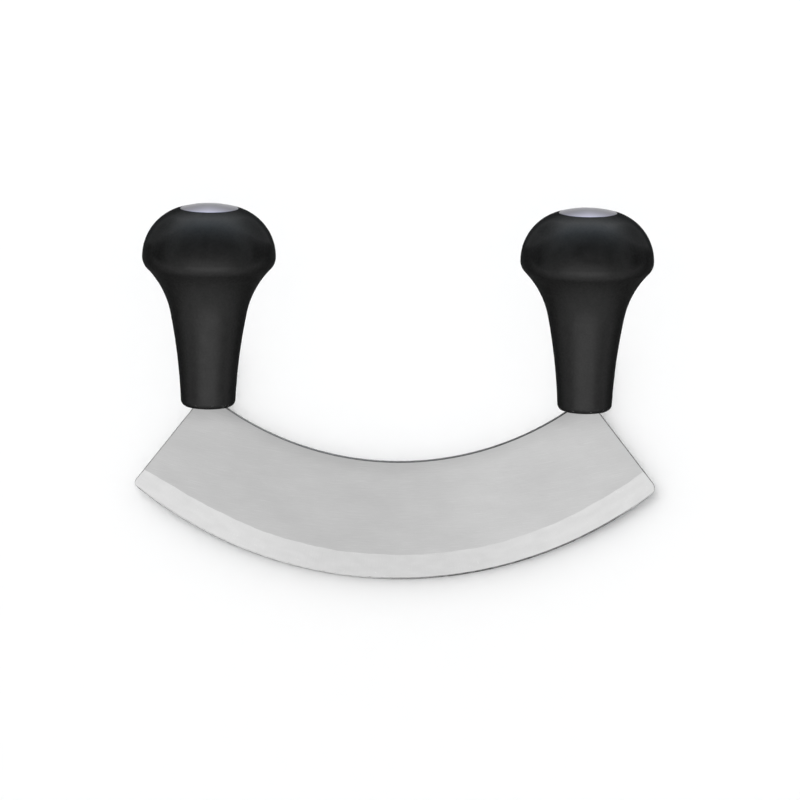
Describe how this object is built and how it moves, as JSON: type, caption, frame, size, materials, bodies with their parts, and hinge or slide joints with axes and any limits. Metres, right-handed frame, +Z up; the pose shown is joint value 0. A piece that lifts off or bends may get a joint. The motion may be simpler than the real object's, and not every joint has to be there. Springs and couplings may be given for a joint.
{
  "type": "mezzaluna",
  "caption": "Curved rocking blade with a ground convex edge and a concave back, carried between upright mushroom knob handles; rocked to chop herbs and vegetables.",
  "frame": {"origin": "middle of the footprint on the table, with the tool lying on its two knobs and the belly of its edge", "axes": "+X along the blade, +Y from the edge towards the knobs, +Z up from the table"},
  "size_m": [0.1804, 0.1292, 0.0455],
  "materials": {
    "blade_steel": "brushed",
    "handle_plastic": "matte",
    "cap_metal": "satin",
    "fastener_steel": "satin"
  },
  "bodies": {
    "root": {"blade": "blade_steel", "left_handle": "handle_plastic", "left_tang_rod": "fastener_steel", "left_washer": "fastener_steel", "left_nut": "fastener_steel", "left_end_cap": "cap_metal", "right_handle": "handle_plastic", "right_tang_rod": "fastener_steel", "right_washer": "fastener_steel", "right_nut": "fastener_steel", "right_end_cap": "cap_metal"}
  },
  "joints": []
}
